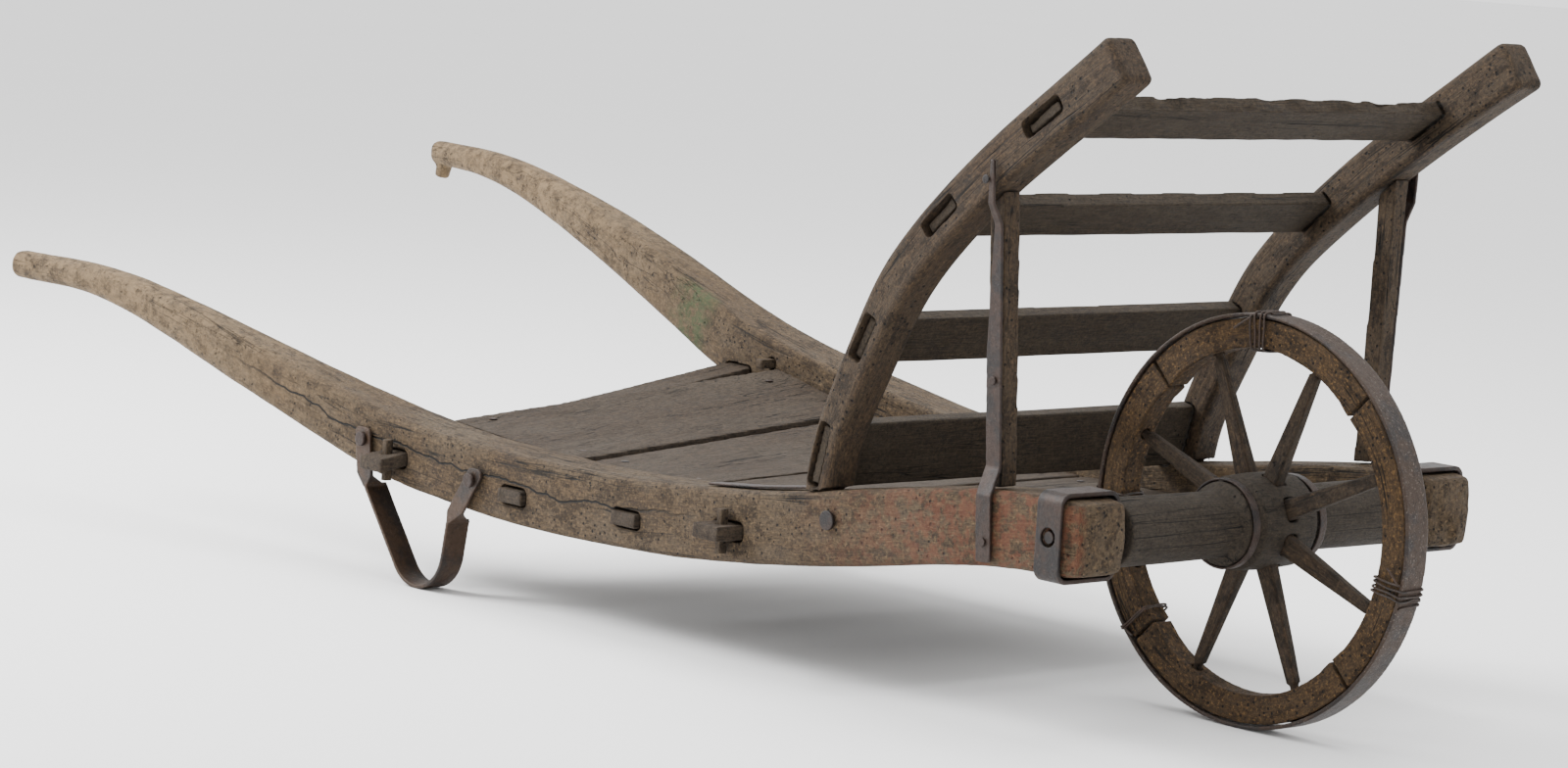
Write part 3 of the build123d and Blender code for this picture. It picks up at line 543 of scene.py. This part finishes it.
for number in range(1, 4):
    carve(f"headboard_slat_{number}", across((number, 0, 0)), slat_wood, cell=0.0024, wear=2,
          seed=20 + number,
          extra=ragged_top if number == 3 else None)
carve("headboard_board", across((0, 0, 0)), slat_wood, cell=0.0026, wear=2, seed=24)
for number in range(1, 5):
    carve(f"bed_board_{number}", across((number, 0, 0)), bed_wood, cell=0.0028, wear=2, hew=0.0018,
          seed=30 + number)
    carve(f"cross_rail_{number}", across((4 + number, 0, 0)), bed_wood, cell=0.0028, wear=2, seed=35 + number)
carve("right_post", upward((0, 0, 0)), upright_wood, cell=0.0022, wear=2, hew=0.001, seed=41)
carve("left_post", upward((3, 0, 0)), upright_wood, cell=0.0022, wear=2, hew=0.001, seed=42)
carve("right_tenon_wedges", upward((5, 0, 0)), wedge_wood, cell=0.0014, wear=2, hew=0.0008, seed=43)
carve("left_tenon_wedges", upward((6, 0, 0)), wedge_wood, cell=0.0014, wear=2, hew=0.0008, seed=44)
carve("bed_peg", across((7, 0, 0)), wedge_wood, cell=0.0012, wear=2, hew=0.0005, seed=45)
print("straight timbers carved")

# %% [markdown]
# ## Wheel

# %% Wheel timbers
carve("nave", across((9, 0, 0)), nave_wood, body="wheel", cell=0.0022, wear=2, hew=0.001, seed=51)
for number in range(1, 9):
    turn = math.radians(45.0 * (number - 0.5))
    spoke_axis = (math.cos(turn), 0.0, math.sin(turn))
    carve(f"spoke_{number}", lambda p, a=spoke_axis, n=number: along_axis(p, a, (n * 0.9, 0, 0)), spoke_wood,
          body="wheel", cell=0.0016, wear=3, hew=0.0012, seed=60 + number)
for number in range(1, 5):
    carve(f"felloe_{number}", round_wheel, felloe_wood, body="wheel", cell=0.002, wear=3, hew=0.0018,
          lump=(0.05, 0.03, 0.03), seed=70 + number)
print("wheel carved")

# %% [markdown]
# ## Ironwork

# %% Iron pieces
def place_as_is(points):
    """Iron has no grain, so its own places serve."""
    return points


for name in ("right_brace_strap", "left_brace_strap", "right_corner_strap", "left_corner_strap",
             "right_bearing_band", "left_bearing_band"):
    carve(name, place_as_is, strap_iron, cell=0.0012, wear=1, hew=0.0005, lump=(0.03, 0.03, 0.03),
          ripple=0.0002,
          ripple_cell=(0.006, 0.006, 0.006), seed=80)
for name in ("right_leg_hoop", "left_leg_hoop"):
    carve(name, place_as_is, hoop_iron, cell=0.0013, wear=1, hew=0.0005, lump=(0.03, 0.03, 0.03),
          ripple=0.0002,
          ripple_cell=(0.006, 0.006, 0.006), seed=81)
carve("tyre", place_as_is, tyre_iron, body="wheel", cell=0.0016, wear=1, hew=0.0005, lump=(0.05, 0.05, 0.05),
      ripple=0.0002, ripple_cell=(0.006, 0.006, 0.006), seed=82)
carve("nave_bands", place_as_is, strap_iron, body="wheel", cell=0.0012, wear=1, hew=0.0004,
      lump=(0.03, 0.03, 0.03),
      ripple=0.0002, ripple_cell=(0.006, 0.006, 0.006), seed=83)
for name in ("hoop_bolts", "strap_nails", "bed_nails", "beam_pins"):
    carve(name, place_as_is, nail_iron, cell=0.0009, wear=1, hew=0.0003, lump=(0.01, 0.01, 0.01),
          ripple=0.0001,
          ripple_cell=(0.003, 0.003, 0.003), seed=84)
carve("axle_pins", place_as_is, nail_iron, body="wheel", cell=0.0012, wear=1, hew=0.0002, seed=85)
carve("tyre_nails", place_as_is, nail_iron, body="wheel", cell=0.0008, wear=1, hew=0.0001, seed=86)
print("ironwork done")

# %% [markdown]
# ## Wire ties
# Each tie is a length of wire wound several times round the rim, a little unevenly, with one end left
# sticking out.


# %% Wire helper
def wire_tie(number, turns, spread, inner, seed):
    """Winds a wire round the rim at the place of one CAD wire node."""
    low, high = (np.array(corner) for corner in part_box(f"rim_wire_{number}"))
    hub = np.array(axle)
    centre = (low + high) / 2 - hub
    angle = math.atan2(centre[2], centre[0])
    rim_out, rim_in, half_width = 0.2264, inner, 0.0184
    wobble = np.random.default_rng(seed)
    path = []
    corners = ((rim_out, -half_width), (rim_out, half_width), (rim_in, half_width), (rim_in, -half_width))
    for turn in range(turns):
        for index, (reach, y) in enumerate(corners):
            next_reach, next_y = corners[(index + 1) % 4]
            for share in (0.08, 0.36, 0.64, 0.92):
                lean = (turn + (index + share) / 4) / turns - 0.5
                swing = angle + spread * lean + wobble.normal(0, 0.0035)
                radius = reach + (next_reach - reach) * share + wobble.normal(0, 0.0005)
                width = y + (next_y - y) * share
                path.append((math.cos(swing) * radius, width, math.sin(swing) * radius))
    for step in range(5):
        swing = angle + spread * 0.5 + 0.02 * step
        radius = rim_out - 0.006 - 0.003 * step
        path.append((math.cos(swing) * radius, -half_width - 0.002 * step, math.sin(swing) * radius))
    curve = bpy.data.curves.new(f"wire_{number}", "CURVE")
    curve.dimensions = "3D"
    curve.bevel_depth = 0.0012
    curve.bevel_resolution = 2
    line = curve.splines.new("NURBS")
    line.points.add(len(path) - 1)
    for point, place in zip(line.points, path):
        point.co = (*(hub + np.array(place)), 1.0)
    line.order_u = 3
    line.use_endpoint_u = True
    drawn = bpy.data.objects.new("wire_drawn", curve)
    bpy.context.scene.collection.objects.link(drawn)
    bpy.context.view_layer.update()
    mesh = bpy.data.meshes.new_from_object(drawn.evaluated_get(bpy.context.evaluated_depsgraph_get()))
    bpy.data.objects.remove(drawn)
    set_grain(mesh, read_points(mesh))
    mesh.materials.clear()
    mesh.materials.append(wire_iron)
    mesh.polygons.foreach_set("use_smooth", np.ones(len(mesh.polygons), dtype=bool))
    piece = bpy.data.objects.new(f"rim_wire_{number}_wound", mesh)
    bpy.context.scene.collection.objects.link(piece)
    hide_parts(f"rim_wire_{number}")
    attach(piece, "wheel")


# %% Wires
tie_sizes = ((4, 0.12, 0.1845), (4, 0.1, 0.1845), (3, 0.06, 0.1845), (2, 0.03, 0.18))
for number, (turns, spread, inner) in enumerate(tie_sizes, start=1):
    wire_tie(number, turns, spread, inner, 90 + number)
print("wires wound")

# %% [markdown]
# ## Floor, light and camera

# %% Stage
floor_paint = Paint("floor")
floor_place = floor_paint.node("ShaderNodeTexCoord", output=3)
floor_tone = floor_paint.noise(floor_place, 0.8, 3.0, 0.5)
floor_material = floor_paint.finish(floor_paint.mix(floor_tone, (0.86, 0.86, 0.86), (0.88, 0.88, 0.88)), 0.9,
                                    specular=0.1)
bpy.ops.mesh.primitive_plane_add(size=60, location=(0, 0, 0))
floor = bpy.context.object
floor.name = "floor"
floor.data.materials.append(floor_material)

world = bpy.data.worlds.new("studio")
bpy.context.scene.world = world
world.use_nodes = True
world.node_tree.nodes["Background"].inputs["Color"].default_value = (1.0, 1.0, 1.0, 1.0)
world.node_tree.nodes["Background"].inputs["Strength"].default_value = 1.7


def soft_light(name, place, aim, size, power):
    lamp = bpy.data.lights.new(name, "AREA")
    lamp.shape = "RECTANGLE"
    lamp.size, lamp.size_y = size
    lamp.energy = power
    holder = bpy.data.objects.new(name, lamp)
    bpy.context.scene.collection.objects.link(holder)
    holder.location = place
    holder.rotation_euler = (Vector(aim) - Vector(place)).to_track_quat("-Z", "Y").to_euler()
    return holder


soft_light("key", (-2.6, -2.2, 3.0), (-0.1, 0.0, 0.3), (2.2, 1.8), 330)
soft_light("top", (0.0, 0.3, 3.6), (0.0, 0.0, 0.2), (3.5, 2.0), 110)

# %% Camera
camera = bpy.data.objects.new("camera", bpy.data.cameras.new("camera"))
bpy.context.scene.collection.objects.link(camera)
camera.data.sensor_width = 36.0
camera.data.lens = 101.25
forward = Vector((-0.73838, 0.66431, -0.11613)).normalized()
right = Vector((0.66263, 0.74668, 0.05813)).normalized()
up = right.cross(forward).normalized()
right = forward.cross(up).normalized()
turned = Matrix((right, up, -forward)).transposed().to_4x4()
camera.matrix_world = Matrix.Translation((4.00488, -3.52934, 0.89292)) @ turned
bpy.context.scene.camera = camera
print("camera at", camera.location)
